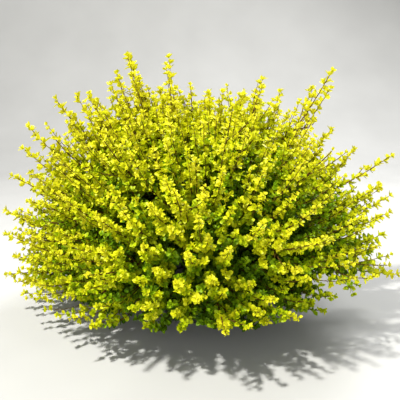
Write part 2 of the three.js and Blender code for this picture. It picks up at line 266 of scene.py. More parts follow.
# Spurs along everything. On open limbs, which draw the outline, and inside the crown they differ.
# Lengths and angles shrink over the last stretch of a plume. Along each shoot a groove stays bare.
SPUR_SPACING = 9.6 * MM
INNER_SPUR_SPACING = 11 * MM
OPEN_SPUR_SPACING = 9.5 * MM
SPACING_GROWTH = 0.8
SPUR_JITTER = 0.25
INNER_DEPTH = 130 * MM
SPUR_LENGTH = 8.5 * MM
SPUR_LENGTHS = (0.6, 1.5)
SPUR_TAPER = (0.35, 0.75)
OPEN_SPUR_LENGTHS = (0.7, 1.1)
OPEN_SPUR_TAPER = (0.75, 0.25)
OPEN_SPUR_GROWTH = 0.8
INNER_SPUR_SHARE = 0.25
END_SPUR_SHARE = 0.3
END_SPUR_ANGLE = 0.1
SPUR_ANGLE = 56 * DEGREE
OPEN_SPUR_ANGLE = 42 * DEGREE
SPUR_ANGLE_SPREAD = 0.15
PLUME_TAPER = 90 * MM
SPUR_RADIUS = 0.6 * MM
SPUR_SIDES = 3
SPUR_GROOVE = 40 * DEGREE
GROOVE_TURNS_AT = 60 * MM
GROOVE_ASIDE = 0.7
GROOVE_UP = 0.2

# Leaves: how their size and bearing vary, and how they grow at the flanks, inside and in the open.
LEAF_LENGTH = 8.0 * MM
LEAF_OVERHANG = 0.6 * LEAF_LENGTH
LEAF_LENGTHS = (0.8, 1.2)
LEAF_AGE_GROWTH = (0.8, 0.35)
LEAF_WIDTHS = (0.60, 0.94)
LEAF_FOLDS = (0.08, 0.42)
LEAF_CURLS = (-0.04, 0.26)
LEAF_OPENING = 0.35
LEAF_OPENING_SPREAD = 0.14
LEAF_TURN_SPREAD = 0.25
SPUR_TURN = 1.7
SPUR_LEAFY_SHARE = 0.45
SPUR_LEAFY_SPREAD = (0.6, 1.2)
LEAF_FACING = (0.8, 0.2, 0.4)
LEAF_FACING_SPREAD = 0.5
TIP_LEAVES_FROM = 0.93
TIP_LEAF_SHARE = 0.85
FLANK_GROWTH = 0.6
FLANK_NARROWING = 0.42
FLANK_FOLDING = 0.4
OPEN_LEAF_GROWTH = 0.4
OUTER_LEAVES = (5, 7)
INNER_LEAVES = (4, 6)
OUTER_TINT = 0.13

# The outline of a leaf's right half, from stalk to tip, as shares of its length along and across.
LEAF_OUTLINES = {
    "young": [(0.28, 0.31), (0.57, 0.47), (0.87, 0.27)],
    "grown": [(0.32, 0.36), (0.60, 0.48), (0.88, 0.27)],
    "inner": [(0.40, 0.44), (0.78, 0.38)],
}
PIECE_TRIANGLES = 190000

# The light that the leaves turn gold in, and how much of it each spray takes. Sprays facing
# this sun get more gold leaves. This is partly the leaves' own gold in sun, and partly painted light on
# the crown's lit side with painted shade on the side away from it.
PAINTED_SUN = np.array([-0.36, -0.30, 0.88])
PAINTED_SUN_GILDING = (0.45, 1.15)
PAINTED_SUN_POWER = 1.5
TINT_SPREAD = 0.014

# The kinds of leaf: how deep under the crown's outside each ends, its outline, its pale, full and
# dark colour, the light that it lets through, and its gloss. The kinds darken with depth. This is partly
# the leaves' own age, from young gold to green, and partly painted shade, most of all in the dark deep
# and shade kinds inside the crown.
LEAF_KINDS = [
    ("gold", 0.034, "young", (0.70, 0.67, 0.032), (0.63, 0.60, 0.014), (0.50, 0.50, 0.005), 0.38, 0.20),
    ("yellow", 0.080, "young", (0.63, 0.625, 0.012), (0.54, 0.55, 0.005), (0.38, 0.44, 0.003), 0.38, 0.18),
    ("lime", 0.125, "grown", (0.49, 0.54, 0.005), (0.36, 0.43, 0.003), (0.23, 0.33, 0.003), 0.34, 0.13),
    ("green", 0.180, "grown", (0.30, 0.42, 0.004), (0.185, 0.30, 0.003), (0.10, 0.20, 0.002), 0.34, 0.12),
    # deep and shade: painted shade of the crown's inside, as dark green leaves.
    ("deep", 0.245, "inner", (0.17, 0.29, 0.004), (0.10, 0.195, 0.002), (0.052, 0.12, 0.002), 0.32, 0.11),
    ("shade", 1.0, "inner", (0.10, 0.19, 0.003), (0.058, 0.128, 0.002), (0.028, 0.076, 0.001), 0.28, 0.10),
]

# The other colours, dark, full and pale, with the scale of the grain for bark.
OLD_BARK = ((0.014, 0.010, 0.005), (0.046, 0.032, 0.015), (0.12, 0.09, 0.05), 210.0)
YOUNG_BARK = ((0.034, 0.015, 0.004), (0.085, 0.039, 0.008), (0.17, 0.09, 0.020), 320.0)
FOOT_BARK = ((0.022, 0.014, 0.010), (0.085, 0.050, 0.034), (0.22, 0.16, 0.12), 120.0)
PLASTIC = ((0.015, 0.015, 0.014), (0.024, 0.024, 0.022), (0.07, 0.062, 0.05))
CRUMB_COLOURS = {
    "potting_mix": ((0.012, 0.008, 0.006), (0.040, 0.024, 0.016), (0.090, 0.056, 0.036)),
    "bark_chip": ((0.040, 0.020, 0.011), (0.110, 0.056, 0.030), (0.20, 0.12, 0.07)),
    "pale_grain": ((0.35, 0.33, 0.29), (0.55, 0.53, 0.48), (0.70, 0.68, 0.63)),
}
STAGE_PAPER = ((0.34, 0.34, 0.335), (0.365, 0.365, 0.36))
BARK_GLOSS = 0.06

# The stage: a floor that sweeps up into a backdrop, by an arc that starts 0.1 radian up. The
# lights: name, place, size, power and colour. The camera is where the photo was taken from, a
# little to the left.
STAGE_HALF_WIDTH = 6.0
STAGE_FRONT = -4.0
SWEEP_FROM = 2.0
SWEEP_RADIUS = 1.5
SWEEP_ARC = (0.1 / DEGREE - 90, 0, 13)
STAGE_TOP = 6.0
LIGHTS = [
    ("key", (-1.4, -1.55, 3.2), 0.2, 300, (1.0, 0.98, 0.92)),
    ("fill", (-0.4, -3.0, 1.0), 2.2, 46, (1.0, 1.0, 0.98)),
    ("back", (1.3, 1.7, 2.7), 1.6, 150, (1.0, 1.0, 1.0)),
]
LIT_POINT = (0, 0, 0.35)
WORLD_COLOUR = (0.97, 0.99, 1.0, 1.0)
WORLD_STRENGTH = 0.45
CAMERA_SHIFT = -8 * MM
CAMERA_DOWN = 13.5
CAMERA_LENS = 54
CAMERA_SENSOR = 36


def seeded(seed):
    """A repeatable stream of numbers from 0 to 1 (the mulberry32 rule)."""
    word = 0xFFFFFFFF
    state = seed & word

    def draw():
        nonlocal state
        state = (state + 0x6D2B79F5) & word
        t = state
        t = ((t ^ (t >> 15)) * (t | 1)) & word
        t ^= (t + (((t ^ (t >> 7)) * (t | 61)) & word)) & word
        return (t ^ (t >> 14)) / 4294967296

    return draw


def unit(v):
    return v / np.maximum(norm(v, axis=-1, keepdims=True), 1e-9)


def lerp(a, b, share):
    return a + (b - a) * share


def rising(line, share):
    """The value of a line, given by its start and its rise, at a share of it."""
    return line[0] + line[1] * share


def turned(count):
    """Turns spread evenly round a circle."""
    return 2 * math.pi * np.arange(count) / count


def heading(azimuth, elevation):
    """The unit vector at an azimuth from +X and an elevation, in radians."""
    level = math.cos(elevation)
    return np.array([level * math.cos(azimuth), level * math.sin(azimuth), math.sin(elevation)])


def bezier(root, bend, tip, shares):
    """Points of a quadratic Bezier curve at the shares given."""
    t = np.asarray(shares)[:, None]
    return (1 - t) ** 2 * root + 2 * t * (1 - t) * bend + t**2 * tip


def slope(root, bend, tip, share):
    """The direction of a quadratic Bezier curve at a share of it."""
    return unit(2 * (1 - share) * (bend - root) + 2 * share * (tip - bend))


def frame_at(curve, share):
    """A curve's direction at a share of it, and two directions square to it and to each other."""
    across = np.cross(slope(*curve, 0.5), UP)
    if norm(across) < NEARLY_UPRIGHT:
        across = np.array([1.0, 0.0, 0.0])
    along = slope(*curve, share)
    side = unit(across - (across @ along) * along)
    return along, side, np.cross(along, side)


def dome_reach(toward):
    """How far the dome reaches in a direction from its centre."""
    reach = lerp(CROWN_REACH, TOP_REACH, np.clip(toward[..., 2], 0, 1) ** 4)
    away = np.arccos(np.clip(toward @ heading(0, SHOULDER_ELEVATION), -1, 1))
    return reach * (1 - SHOULDER_DROP * np.maximum(0, 1 - away / SHOULDER_WIDTH))


def depth_of(points):
    """How deep points lie under the dome's surface."""
    from_centre = points - CENTRE
    return dome_reach(unit(from_centre)) - norm(from_centre, axis=-1)


def stem_headings():
    """The stems' headings, on a golden spiral, where each leader takes over the nearest stem."""
    stems = []
    for k in range(STEMS):
        draw = seeded(SEED + k)
        sine = LOWEST_SINE + (1 - LOWEST_SINE) * ((k + 0.5) / STEMS)
        toward = heading(k * GOLDEN_ANGLE, math.asin(sine))
        reach = dome_reach(toward) * (1 + REACH_SPREAD * (2 * draw() - 1))
        stems.append({"toward": toward, "reach": reach, "led": False})
    for azimuth, elevation, reach in LEADERS:
        wanted = heading(azimuth * DEGREE, elevation * DEGREE)
        free = [stem for stem in stems if not stem["led"]]
        nearest = max(free, key=lambda stem: stem["toward"] @ wanted)
        nearest.update(toward=wanted, reach=reach * MM, led=True)
    return stems


def stem_curves(stem):
    """A stem's two curves: the bough from the foot to the inner radius, and the leader of its mass."""
    toward = stem["toward"]
    azimuth = math.atan2(toward[1], toward[0])
    elevation = math.asin(toward[2])
    low = max(0, 1 - elevation / LOW_STEM_BELOW)
    out = np.array([math.cos(azimuth), math.sin(azimuth), 0])
    start = CENTRE + INNER_RADIUS * heading(azimuth, elevation + LOW_STEM_LIFT * low)
    root = UP * (SOIL_TOP + BOUGH_ROOT_RISE * FOOT_HEIGHT)
    root = root + out * BOUGH_ROOT_REACH * FOOT_RADIUS * math.cos(elevation)
    bend = out * BEND_SHARE * (start @ out)
    highest = SOIL_TOP + RIM_CLEARANCE + BEND_SPREAD * (toward[2] - LOWEST_SINE)
    bend[2] = max(0.5 * (root[2] + start[2]), highest)
    tip = CENTRE + toward * (stem["reach"] - LEAF_OVERHANG)
    leaving = unit(start - bend)
    span = norm(tip - start)
    return (root, bend, start), (start, start + leaving * LEADER_BEND_SHARE * span, tip)


def above_underside(points):
    """True where a point is above the crown's underside, which rises towards the front."""
    rise = FRONT_RISE * np.maximum(0, -points[..., 1] - FRONT_RISE_FROM)
    return points[..., 2] > UNDERSIDE + rise


def above_skirt(points):
    """True where a point is above the edge of the leafy skirt, which also rises to both sides."""
    rise = SKIRT_RISE * (np.abs(points[..., 0]) - SKIRT_RISE_FROM)
    most = np.where(points[..., 0] > 0, SKIRT_RIGHT_RISE, SKIRT_LEFT_RISE)
    lift = np.clip(rise, 0, most)[..., None]
    return above_underside(points - lift * UP)


def keeps_to_space(point, own, headings):
    """True where a point keeps to a stem's own space."""
    from_centre = point - CENTRE
    if not above_underside(point) or norm(from_centre) < INNER_RADIUS + SPACE_MARGIN:
        return False
    others = headings[np.abs(headings @ own - 1) > 1e-9]
    return bool(np.all(unit(own - others) @ from_centre > SPACE_MARGIN))


def side_twigs(leader, own, headings, draw):
    """The side twigs of a leader, as straight lines, by the same draws as in the solids."""
    twigs = []
    for k in range(SIDE_TWIGS):
        share = FIRST_TWIG_SHARE + (TWIG_STRETCH * (k + 0.5 * draw())) / SIDE_TWIGS
        base = bezier(*leader, [share])[0]
        along, side, other = frame_at(leader, share)
        turn = (2 * k + 1) * math.pi / LEADER_FLATS
        flat = side * math.cos(turn) + other * math.sin(turn)
        wander = np.array([draw() - 0.5, draw() - 0.5, draw() - 0.5])
        toward = along * math.cos(TWIG_ANGLE) + flat * math.sin(TWIG_ANGLE) + wander * TWIG_WANDER
        toward = unit(toward)
        length = TWIG_LENGTH * (1 - TWIG_SHORTENING * share)
        while length > TWIG_LEAST and not keeps_to_space(base + toward * length, own, headings):
            length *= TWIG_SHRINK
        if length > TWIG_LEAST:
            twigs.append((base, base + toward * length))
    return twigs


def lobe_share(toward):
    """The share of the dome's reach that the crown is dense to: lobed near the outline's plane, and
    less where the skirt draws in."""
    turn = np.degrees(np.arctan2(toward[:, 2], toward[:, 0]))
    turn = np.where(turn < -90, turn + 360, turn)
    share = np.interp(turn, *zip(*LOBES))
    width = np.where(toward[:, 2] < 0, LOW_LOBE_WIDTH, LOBE_WIDTH)
    near = np.clip(1 - (toward[:, 1] / width) ** 2, 0, 1)
    lowest, highest = SKIRT_SINES
    skirt = lerp(SKIRT_SHARE, 1, np.clip((toward[:, 2] - lowest) / (highest - lowest), 0, 1))
    return lerp(1, share, near) * skirt


def fan(count, lowest, highest, turn):
    """Directions spread evenly over a band of the crown by the golden angle."""
    sines = lerp(lowest, highest, (np.arange(count) + 0.5) / count)
    turns = np.arange(count) * GOLDEN_ANGLE + turn
    level = np.sqrt(1 - sines**2)
    return np.stack([level * np.cos(turns), level * np.sin(turns), sines], axis=1)


def outline_targets(rng):
    """The ends of the shoots at the outline and of their companions, and which ones draw it."""
    tips = []
    drawn = []
    outlines = ((1, RIGHT_TIPS, COMPANIONS), (-1, LEFT_TIPS, COMPANIONS), (1, LONE_RIGHT_TIPS, 0))
    for sign, outline, companions in outlines:
        for elevation, reach in outline:
            toward = heading(0, elevation * DEGREE) * [sign, 1, 1]
            nearness = 1 + rng.uniform(*OUTLINE_DEPTHS) / -PHOTO_FROM[1]
            for number in range(companions + 1):
                own_reach = (reach * MM - LEAF_OVERHANG) * (1 - COMPANION_STEP * number)
                flat = CENTRE + toward * own_reach
                spread = COMPANION_SPREAD if number else 0
                tips.append(PHOTO_FROM + (flat - PHOTO_FROM) * nearness + rng.normal(0, 1, 3) * spread)
                drawn.append(number == 0)
    return tips, drawn


def shoot_targets(rng):
    """The ends of the finer shoots, which ones draw the outline, and how readily they turn gold."""
    tips = []
    golden = []
    for number, (count, low, high, lowest, highest, gold) in enumerate(LAYERS):
        spread = rng.normal(0, LAYER_SPREAD, (count, 3))
        toward = unit(fan(count, lowest, highest, LAYER_TURN * number) + spread)
        share = rng.uniform(low, high, count) * lobe_share(toward)
        tips.extend(CENTRE + toward * (dome_reach(toward) * share)[:, None])
        golden.extend([gold] * count)
    outline, drawn = outline_targets(rng)
    drawn = np.array([False] * len(tips) + drawn)
    golden = np.array(golden + [OUTER_GOLD] * len(outline))
    tips = np.array(tips + outline)
    kept = above_skirt(tips)
    return tips[kept], drawn[kept], golden[kept]


def shoot_root(tip, ending, spine, slopes, wanted):
    """How poor the best place on a stem is for a shoot to a tip, and that place. The shoot should
    leave at the wanted angle and hardly turn after that."""
    to_tip = tip - spine
    length = norm(to_tip, axis=1)
    away = unit(to_tip)
    leaving = np.arccos(np.clip(np.sum(away * slopes, axis=1), -1, 1))
    turning = np.arccos(np.clip(away @ ending, -1, 1))
    far = norm(spine - CENTRE, axis=1)
    unfit = (length < SHOOT_LEAST) | (far < ROOT_LEAST_RADIUS)
    poorness = np.abs(leaving - wanted) + turning + UNFIT * unfit
    best = int(np.argmin(poorness))
    return poorness[best], spine[best]


class Growth:
    """The limbs by kind, each a path with its radii, and the limbs that bear spurs."""

    def __init__(self):
        self.limbs = {"boughs": [], "leaders": [], "shoots": [], "twiglets": []}
        self.bearing = []

    def add(self, kind, path, radii, vigour=None, bare=BARE_SHARE, is_open=False):
        """Adds a limb. One with a vigour bears spurs, beyond the share that stays bare."""
        shares = np.linspace(0, 1, len(path))
        self.limbs[kind].append((path, lerp(*radii, shares**LIMB_TAPER)))
        if vigour is not None:
            self.bearing.append({"path": path, "vigour": vigour, "bare": bare, "open": is_open})

    def paths_and_radii(self, kind):
        """The paths of a kind of limb, and their radii with an axis for the sides."""
        paths, radii = zip(*self.limbs[kind])
        return np.array(paths), np.array(radii)[..., None]


def grow_stem(number, stem, headings, growth, rng):
    """Adds a stem's bough, leader and side twigs, and returns its points and their directions."""
    bough, leader = stem_curves(stem)
    bough_path = bezier(*bough, np.linspace(0, 1, BOUGH_RINGS))
    leader_path = bezier(*leader, np.linspace(0, 1, LEADER_RINGS))
    growth.add("boughs", bough_path, STEM_RADII[:2])
    growth.add("leaders", leader_path, STEM_RADII[1:], LEADER_VIGOUR, is_open=stem["led"])
    kept_share = LED_TWIG_SHARE if stem["led"] else 1
    for base, tip in side_twigs(leader, stem["toward"], headings, seeded(TWIG_SEED + number)):
        reach = norm(tip - base) * kept_share
        end = base + reach * unit(unit(tip - base) + TWIG_LIFT * unit(tip - SHOOT_AIM))
        path = bezier(base, lerp(base, tip, 0.5), end, np.linspace(0, 1, SHOOT_POINTS))
        growth.add("shoots", path, TWIG_RADII, rng.uniform(*TWIG_VIGOURS), TWIG_BARE_SHARE)
    spine = np.concatenate([bough_path[:-1], leader_path])
    return spine, unit(np.gradient(spine, axis=0))


def grow_twiglets(curve, length, vigour, growth, rng):
    """Adds the twiglets of a shoot, each a golden turn on from the one before."""
    turn = rng.uniform(0, 2 * math.pi)
    span = TWIGLET_SPAN * length
    for number in range(int(span / TWIGLET_SPACING)):
        place = number + rng.uniform(*TWIGLET_JITTER)
        share = TWIGLET_FIRST + TWIGLET_STRETCH * place * TWIGLET_SPACING / span
        if share > TWIGLET_LAST:
            continue
        turn += GOLDEN_ANGLE
        along, side, other = frame_at(curve, share)
        aside = side * math.cos(turn) + other * math.sin(turn)
        toward = unit(along * math.cos(TWIGLET_ANGLE) + aside * math.sin(TWIGLET_ANGLE))
        base = bezier(*curve, [share])[0]
        reach = TWIGLET_LENGTH * rng.uniform(*TWIGLET_LENGTHS) * rising(TWIGLET_SHORTENING, share)
        end = base + toward * reach + along * TWIGLET_LIFT * reach
        if depth_of(end) > 0 and above_skirt(end):
            middle = base + toward * 0.5 * reach
            path = bezier(base, middle, end, np.linspace(0, 1, TWIGLET_POINTS))
            growth.add("twiglets", path, TWIGLET_RADII, vigour, TWIGLET_BARE_SHARE)


def grow_shoot(tip, is_drawn, gold, spines, growth, rng):
    """Adds the shoot to a tip, from where it leaves one of the stems best, and its twiglets."""
    wanted = SHOOT_ANGLE + rng.uniform(-1, 1) * SHOOT_ANGLE_SPREAD
    ending = unit(tip - SHOOT_AIM)
    roots = [shoot_root(tip, ending, *spine, wanted) for spine in spines]
    root = min(roots, key=lambda found: found[0])[1]
    length = norm(tip - root)
    bend = lerp(0.5 * (root + tip), tip - ending * 0.5 * length, SHOOT_CURVE)
    path = bezier(root, bend, tip, np.linspace(0, 1, SHOOT_POINTS))
    path[1:-1] += rng.normal(0, SHOOT_WOBBLE, (SHOOT_POINTS - 2, 3))
    vigour = gold * rng.uniform(*VIGOUR_SPREAD)
    radii = (lerp(*ROOT_RADII, min(1, length / LONG_SHOOT)), TIP_RADIUS)
    growth.add("shoots", path, radii, vigour, is_open=is_drawn)
    grow_twiglets((root, bend, tip), length, vigour, growth, rng)


def grow():
    """The whole growth of limbs, from the boughs to the twiglets."""
    rng = np.random.default_rng(SEED)
    growth = Growth()
    stems = stem_headings()
    headings = np.array([stem["toward"] for stem in stems])
    spines = [grow_stem(k, stem, headings, growth, rng) for k, stem in enumerate(stems)]
    tips, drawn, golden = shoot_targets(rng)
    nearest = np.argsort(-unit(tips - CENTRE) @ headings.T, axis=1)[:, :STEM_CHOICES]
    for tip, is_drawn, gold, choices in zip(tips, drawn, golden, nearest):
        grow_shoot(tip, is_drawn, gold, [spines[k] for k in choices], growth, rng)
    return growth


def read_at(places, marks, values):
    """Rows of values, read at places between the marks that they belong to."""
    return np.stack([np.interp(places, marks, column) for column in values.T], axis=1)


def square_to(toward, turn, facing=UP):
    """Directions square to others, at turns about them from the side that faces a direction."""
    side = facing - np.sum(facing * toward, axis=1, keepdims=True) * toward
    lost = norm(side, axis=1, keepdims=True) < 0.5 * NEARLY_UPRIGHT
    side = unit(np.where(lost, np.cross(toward, [1.0, 0, 0]), side))
    other = np.cross(toward, side)
    return side * np.cos(turn)[:, None] + other * np.sin(turn)[:, None]


def open_side(points):
    """The side of its shoot on which no spurs stand, so that the stem shows along it: outward, and
    to the front or, well behind the crown's middle, to the back."""
    away = np.where(points[:, 1:2] < GROOVE_TURNS_AT, [[0, -1.0, 0]], [[0, 1.0, 0]])
    return unit(points - CENTRE) + GROOVE_ASIDE * away + GROOVE_UP * UP


def flank_growth(points):
    """How many times as long as at the crown's front the leaves are at its flanks, top and back."""
    outward = unit(points - CENTRE)
    return 1 + FLANK_GROWTH * np.clip(1 + outward[..., 1], 0, 1)


def spur_directions(points, toward, taper, widest, rng):
    """The spurs' directions, a golden turn apart and clear of the groove. The first ends its limb."""
    turn = rng.uniform(0, 2 * math.pi) + GOLDEN_ANGLE * np.arange(len(points))
    angle = widest * (0.5 + 0.5 * taper) + rng.normal(0, SPUR_ANGLE_SPREAD, len(points))
    angle[0] = END_SPUR_ANGLE
    turn = (turn + math.pi) % (2 * math.pi) - math.pi
    turn = np.sign(turn) * (SPUR_GROOVE + np.abs(turn) * (1 - SPUR_GROOVE / math.pi))
    aside = square_to(toward, turn, open_side(points))
    return toward * np.cos(angle)[:, None] + aside * np.sin(angle)[:, None]


def spur_lengths(taper, is_open, rng):
    """The spurs' lengths, which shrink to the tip. The first spur ends its limb."""
    length = SPUR_LENGTH * rng.uniform(*SPUR_LENGTHS, len(taper)) * rising(SPUR_TAPER, taper)
    if is_open:
        drawn = rng.uniform(*OPEN_SPUR_LENGTHS, len(taper))
        length = OPEN_SPUR_GROWTH * SPUR_LENGTH * drawn * rising(OPEN_SPUR_TAPER, taper)
    length[0] = END_SPUR_SHARE * SPUR_LENGTH
    return length


def limb_spurs(limb, rng):
    """The spurs of one limb, as grow_spurs lists them."""
    path = limb["path"]
    is_open = limb["open"]
    marks = np.append(0, np.cumsum(norm(np.diff(path, axis=0), axis=1)))
    total = marks[-1]
    spacing = (OPEN_SPUR_SPACING if is_open else SPUR_SPACING) * flank_growth(path[-1]) ** SPACING_GROWTH
    first = limb["bare"] * total
    count = max(2, int((total - first) / spacing))
    places = total - (np.arange(count) + rng.uniform(-SPUR_JITTER, SPUR_JITTER, count)) * spacing
    places = np.clip(places, first, total)
    points = read_at(places, marks, path)
    toward = unit(read_at(places, marks, unit(np.gradient(path, axis=0))))
    taper = np.clip((total - places) / PLUME_TAPER, 0, 1)
    leaning = spur_directions(points, toward, taper, OPEN_SPUR_ANGLE if is_open else SPUR_ANGLE, rng)
    length = spur_lengths(taper, is_open, rng)
    depth = depth_of(points)
    # Sprays that face the painted sun turn more gold: partly painted light, partly the leaves' own gold.
    sunny = 0.5 + 0.5 * unit(points - CENTRE) @ unit(PAINTED_SUN)
    gold_and_painted_sun = limb["vigour"] * rising(PAINTED_SUN_GILDING, sunny**PAINTED_SUN_POWER)
    inner = depth > INNER_DEPTH
    thinned = inner & (rng.uniform(size=count) > SPUR_SPACING / INNER_SPUR_SPACING)
    spurs = {
        "point": points,
        "leaning": leaning,
        "length": np.where(inner, INNER_SPUR_SHARE * length, length),
        "share": places / total,
        "depth": depth,
        "tint": np.maximum(depth, 0) / gold_and_painted_sun + rng.normal(0, TINT_SPREAD, count),
        "open": np.full(count, is_open),
    }
    return {key: values[~thinned] for key, values in spurs.items()}


def grow_spurs(bearing, rng):
    """The spurs: where each starts, its direction and length, its share along its limb, how deep
    it lies, how deep it counts as lying when its leaves are coloured, and whether it is open."""
    limbs = [limb_spurs(limb, rng) for limb in bearing]
    spurs = {key: np.concatenate([limb[key] for limb in limbs]) for key in limbs[0]}
    kept = above_skirt(spurs["point"] + spurs["leaning"] * 0.5 * LEAF_LENGTH)
    return {key: values[kept] for key, values in spurs.items()}


def grow_leaves(spurs, rng):
    """The leaves: stalk point, direction, upper side, length, width share and their spur's tint."""
    total = len(spurs["tint"])
    outer = spurs["tint"] < OUTER_TINT
    counts = np.where(outer, rng.integers(*OUTER_LEAVES, total), rng.integers(*INNER_LEAVES, total))
    counts += spurs["open"]
    spur = np.repeat(np.arange(total), counts)
    count = len(spur)
    number = np.arange(count) - np.repeat(np.cumsum(counts) - counts, counts)
    age = number / counts[spur]
    own = {key: values[spur] for key, values in spurs.items()}
    axis = own["leaning"]
    turn = GOLDEN_ANGLE * number + rng.normal(0, LEAF_TURN_SPREAD, count) + spur * SPUR_TURN
    place = 1 - SPUR_LEAFY_SHARE * age * rng.uniform(*SPUR_LEAFY_SPREAD, count)
    opening = LEAF_OPENING + age + rng.normal(0, LEAF_OPENING_SPREAD, count)
    opening *= 1 - FLANK_FOLDING * (flank_growth(own["point"]) - 1)
    aside = square_to(axis, turn)
    along = unit(axis * np.cos(opening)[:, None] + aside * np.sin(opening)[:, None])
    base = own["point"] + axis * (own["length"] * place)[:, None]
    by_axis, by_outward, by_up = LEAF_FACING
    facing = by_axis * axis + by_outward * unit(base - CENTRE) + by_up * UP
    facing = facing + rng.normal(0, LEAF_FACING_SPREAD, (count, 3))
    upper = unit(facing - np.sum(facing * along, axis=1, keepdims=True) * along)
    growth = flank_growth(base) + np.clip(own["depth"] / (2 * INNER_DEPTH), 0, 1)
    length = LEAF_LENGTH * rng.uniform(*LEAF_LENGTHS, count) * rising(LEAF_AGE_GROWTH, age) * growth
    at_tip = np.where(own["share"] > TIP_LEAVES_FROM, TIP_LEAF_SHARE, 1.0)
    length *= at_tip * (1 + OPEN_LEAF_GROWTH * own["open"])
    width = rng.uniform(*LEAF_WIDTHS, count) * (1 - FLANK_NARROWING * (flank_growth(base) - 1))
    return dict(base=base, along=along, upper=upper, length=length, width=width, tint=own["tint"])


def leaf_template(half):
    """A leaf's points as shares of its length: stalk, tip, right edge and left edge. Its triangles
    fan out of the stalk."""
    points = [(0.0, 0.0), (1.0, 0.0)] + half + [(u, -v) for u, v in half]
    right = [*range(2, 2 + len(half)), 1]
    left = [*range(2 + len(half), 2 + 2 * len(half)), 1]
    faces = [(a, b, 0) for a, b in zip(right, right[1:])]
    faces += [(0, b, a) for a, b in zip(left, left[1:])]
    return np.array(points), np.array(faces)


def leaf_mesh(leaves, chosen, template, rng):
    """The points and triangles of the chosen leaves, each folded along its rib and curled."""
    shares, faces = template
    u = shares[:, 0][None, :, None]
    v = shares[:, 1][None, :, None]
    base, along, upper = (leaves[key][chosen][:, None] for key in ("base", "along", "upper"))
    across = np.cross(upper, along)
    length, width = (leaves[key][chosen][:, None, None] for key in ("length", "width"))
    fold = rng.uniform(*LEAF_FOLDS, len(chosen))[:, None, None]
    curl = rng.uniform(*LEAF_CURLS, len(chosen))[:, None, None]
    rise = fold * np.abs(v) - curl * u**2
    points = base + length * (along * u + across * v * width + upper * rise)
    return points.reshape(-1, 3), repeated(faces, len(chosen), len(shares))


def repeated(faces, count, points_each):
    """The faces of many alike meshes that follow each other in one."""
    offsets = points_each * np.arange(count)[:, None, None]
    return (np.asarray(faces)[None] + offsets).reshape(-1, len(faces[0]))


def ring_faces(bodies, rings, sides):
    """The faces of closed bodies of rings: the quads of all their walls, then their flat ends."""
    ring = np.arange(bodies * rings * sides).reshape(bodies, rings, sides)
    following = np.roll(ring, -1, axis=2)
    walls = np.stack([ring[:, :-1], following[:, :-1], following[:, 1:], ring[:, 1:]], axis=-1)
    return walls.reshape(-1, 4).tolist() + ring[:, 0, ::-1].tolist() + ring[:, -1].tolist()


def round_points(radius, turn, height):
    """Points at radii and turns about the upright axis, and at heights."""
    spread = np.broadcast_arrays(radius * np.cos(turn), radius * np.sin(turn), height)
    return np.stack(spread, axis=-1).reshape(-1, 3)


def tubes(paths, radii, sides):
    """Closed limbs along paths of equally many points, with radii by limb, point and side."""
    m, n = paths.shape[:2]
    along = unit(np.gradient(paths, axis=1))
    across = np.cross(paths[:, -1] - paths[:, 0], UP)
    span = norm(paths[:, -1] - paths[:, 0], axis=1, keepdims=True)
    upright = norm(across, axis=1, keepdims=True) < NEARLY_UPRIGHT * span
    across = np.where(upright, [[1.0, 0, 0]], across)[:, None]
    side = unit(across - np.sum(across * along, axis=2, keepdims=True) * along)
    other = np.cross(along, side)
    turn = turned(sides)
    out = side[:, :, None] * np.cos(turn)[:, None] + other[:, :, None] * np.sin(turn)[:, None]
    points = paths[:, :, None] + out * radii[..., None]
    return points.reshape(-1, 3), ring_faces(m, n, sides)


def placed(name, data):
    """A new object in the scene."""
    made = bpy.data.objects.new(name, data)
    bpy.context.scene.collection.objects.link(made)
    return made


def meshed(name, points, faces, material, smooth=True):
    """A new mesh object with one finish."""
    mesh = bpy.data.meshes.new(name)
    mesh.from_pydata(np.asarray(points).tolist(), [], [list(face) for face in faces])
    mesh.validate()
    if smooth:
        mesh.shade_smooth()
    mesh.materials.append(material)
    return placed(name, mesh)


def piece(name, points, faces, material, slot, replaced, smooth=True):
    """A mesh piece that rides on the one body and replaces nodes of the CAD."""
    made = meshed(name, points, faces, material, smooth)
    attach(made, "root")
    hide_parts(*replaced)
    return made


def numbered(kind):
    """The names of the nodes of a kind, one for each stem."""
    return [f"{kind}_{k + 1:02d}" for k in range(STEMS)]


